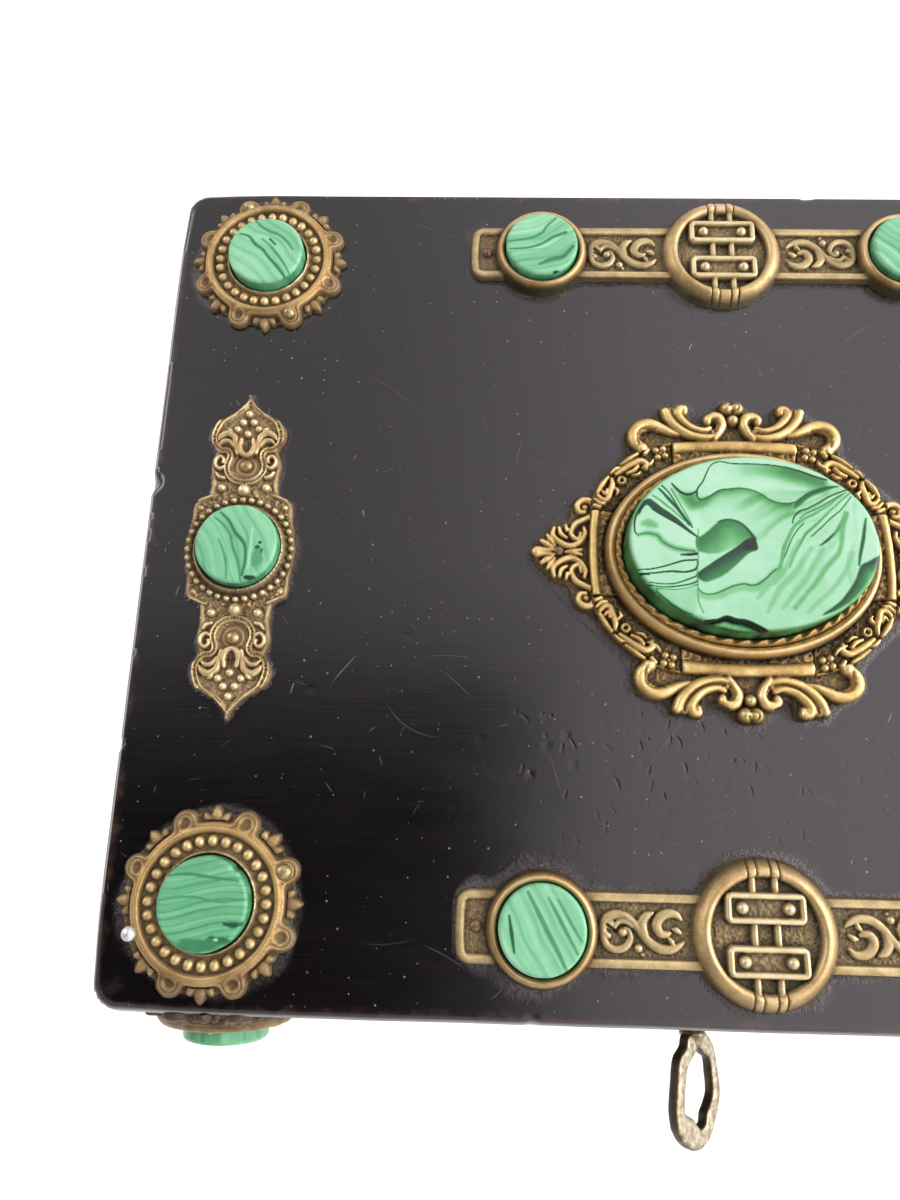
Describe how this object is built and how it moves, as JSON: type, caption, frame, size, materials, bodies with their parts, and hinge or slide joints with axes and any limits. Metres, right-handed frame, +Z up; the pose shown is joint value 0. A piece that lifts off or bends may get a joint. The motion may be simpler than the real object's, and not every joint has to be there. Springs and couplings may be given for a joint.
{
  "type": "keepsake box",
  "caption": "Lockable ebonised wooden keepsake box with a hinged lid, stamped brass mounts set with banded green stones, and a key in its link-plate lock.",
  "frame": {"origin": "middle of the base's underside", "axes": "+Z up; -Y is the front with the lock; +X to the right seen from the front"},
  "size_m": [0.2344, 0.207, 0.115],
  "materials": {
    "ebonised_wood": "worn satin polish",
    "gilt_mounts": "aged stamped brass, dark in the recesses",
    "nail_brass": "worn",
    "banded_green_stone": "polished, banded",
    "lock_brass": "brushed",
    "lock_steel": "brushed",
    "key_metal": "worn, tarnished",
    "lining_silk": "quilted silk"
  },
  "bodies": {
    "carcass": {"body_front": "ebonised_wood", "body_back": "ebonised_wood", "body_left": "ebonised_wood", "body_right": "ebonised_wood", "base_board": "ebonised_wood", "body_lining_cards": "lining_silk", "floor_pad": "lining_silk", "hinge_left_body_leaf": "lock_brass", "hinge_right_body_leaf": "lock_brass", "hinge_left_pin": "lock_steel", "hinge_right_pin": "lock_steel", "hinge_screws_body": "lock_steel", "lock_plate": "lock_brass", "lock_case": "lock_brass", "lock_screws": "lock_steel", "drill_pin": "lock_steel", "bolt_spring": "lock_steel", "escutcheon": "gilt_mounts"},
    "lid": {"cartouche": "gilt_mounts", "end_mount_left": "gilt_mounts", "end_mount_right": "gilt_mounts", "hinge_left_lid_leaf": "lock_brass", "hinge_right_lid_leaf": "lock_brass", "hinge_screws_lid": "lock_steel", "lid_back": "ebonised_wood", "lid_front": "ebonised_wood", "lid_left": "ebonised_wood", "lid_lining_cards": "lining_silk", "lid_pad": "lining_silk", "lid_right": "ebonised_wood", "lid_top": "ebonised_wood", "link_plate": "lock_brass", "link_plate_screws": "lock_steel", "mount_pins_rim": "nail_brass", "mount_pins_top": "nail_brass", "oval_collet": "gilt_mounts", "rim_rosette_left": "gilt_mounts", "rim_rosette_right": "gilt_mounts", "rim_stone_left": "banded_green_stone", "rim_stone_right": "banded_green_stone", "rosette_back_left": "gilt_mounts", "rosette_back_right": "gilt_mounts", "rosette_front_left": "gilt_mounts", "rosette_front_right": "gilt_mounts", "stone_back_left": "banded_green_stone", "stone_back_right": "banded_green_stone", "stone_centre_oval": "banded_green_stone", "stone_end_left": "banded_green_stone", "stone_end_right": "banded_green_stone", "stone_front_left": "banded_green_stone", "stone_front_right": "banded_green_stone", "stone_strap_back_left": "banded_green_stone", "stone_strap_back_right": "banded_green_stone", "stone_strap_front_left": "banded_green_stone", "stone_strap_front_right": "banded_green_stone", "strap_back": "gilt_mounts", "strap_front": "gilt_mounts"},
    "key": {"key": "key_metal"},
    "lock_bolt": {"lock_bolt": "lock_steel"}
  },
  "joints": [
    {"name": "lid_hinge", "type": "hinge", "parent": "carcass", "child": "lid", "pos_m": [0, 0.0852, 0.068], "axis": [-1, 0, 0], "range_deg": [0, 100]},
    {"name": "key_turn", "type": "hinge", "parent": "carcass", "child": "key", "pos_m": [0, -0.09, 0.05], "axis": [0, -1, 0], "range_deg": [-48, 222]},
    {"name": "bolt_slide", "type": "slide", "parent": "carcass", "child": "lock_bolt", "axis": [-1, 0, 0], "range_m": [-0.00092, 0.00415]}
  ],
  "couplings": [
    {"joint": "bolt_slide", "follows": "key_turn", "m_per_rad": 0.001061}
  ]
}
